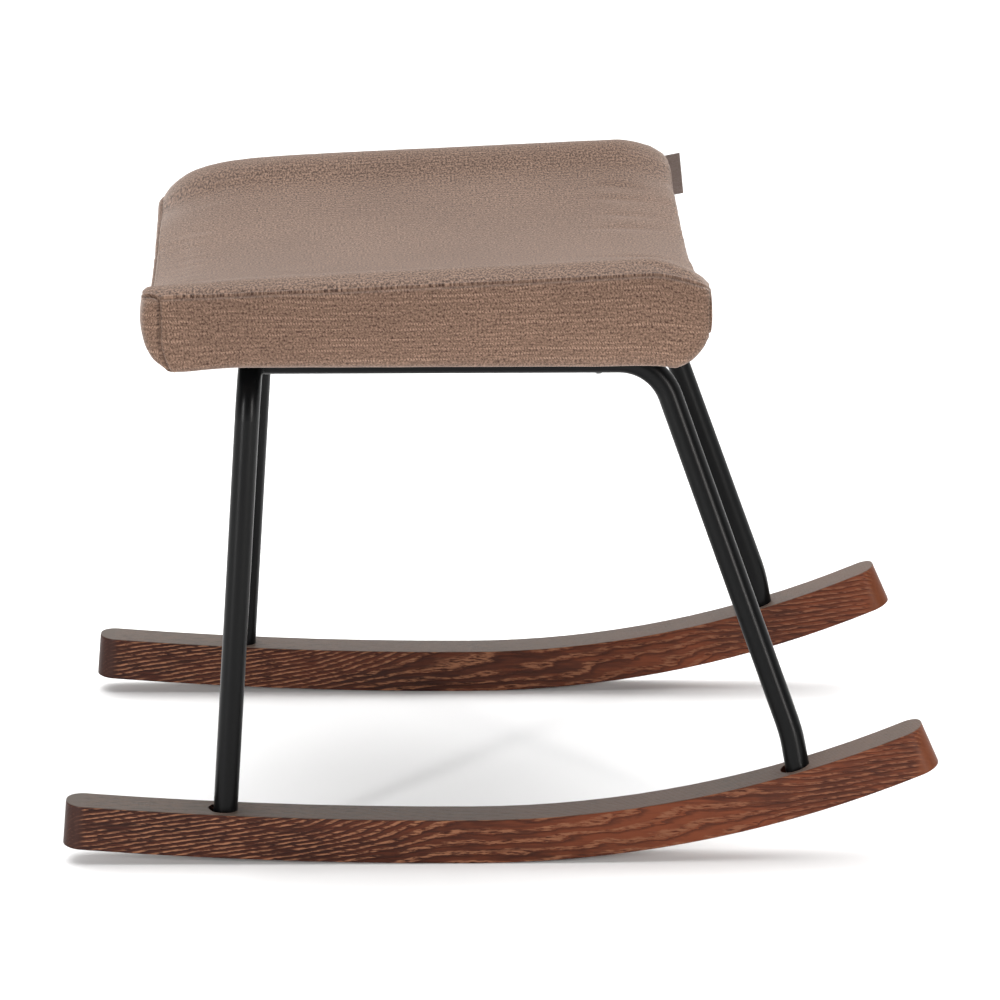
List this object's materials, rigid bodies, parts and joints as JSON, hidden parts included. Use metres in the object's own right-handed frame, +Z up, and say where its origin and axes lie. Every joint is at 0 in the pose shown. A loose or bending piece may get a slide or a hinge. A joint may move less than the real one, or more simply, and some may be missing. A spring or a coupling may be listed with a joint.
{
  "type": "rocking footstool",
  "caption": "Rocking footstool: dished box cushion in brown melange cloth on a black tube frame, standing on curved dark wooden rockers.",
  "frame": {"origin": "on the floor under the middle of the overall box, with both rockers' lowest lines at Z = 0", "axes": "+X along the rockers towards the upswept end, +Y across the stool towards the back, +Z up"},
  "size_m": [0.6495, 0.4816, 0.4523],
  "materials": {
    "rocker_wood": "reddish dark walnut stain under a satin lacquer",
    "frame_paint": "satin black powder coat",
    "black_steel": "black oxide",
    "zinc_steel": "zinc plated",
    "board_wood": "raw plywood",
    "dust_cloth": "black non-woven cloth",
    "foam": "open-cell foam, covered",
    "cover_cloth": "coarse brown melange weave, matt",
    "tag_cloth": "plain woven tape"
  },
  "bodies": {
    "root": {"front_rocker": "rocker_wood", "back_rocker": "rocker_wood", "left_leg_arch": "frame_paint", "front_side_tube": "frame_paint", "back_side_tube": "frame_paint", "right_cross_tube": "frame_paint", "seat_tabs": "frame_paint", "leg_inserts": "zinc_steel", "rocker_bolts": "black_steel", "rocker_washers": "zinc_steel", "seat_board": "board_wood", "t_nuts": "zinc_steel", "seat_screws": "black_steel", "seat_washers": "zinc_steel", "dust_cover": "dust_cloth", "foam_pad": "foam", "top_panel": "cover_cloth", "front_gusset": "cover_cloth", "back_gusset": "cover_cloth", "left_end_panel": "cover_cloth", "right_end_panel": "cover_cloth", "side_tag": "tag_cloth"}
  },
  "joints": []
}
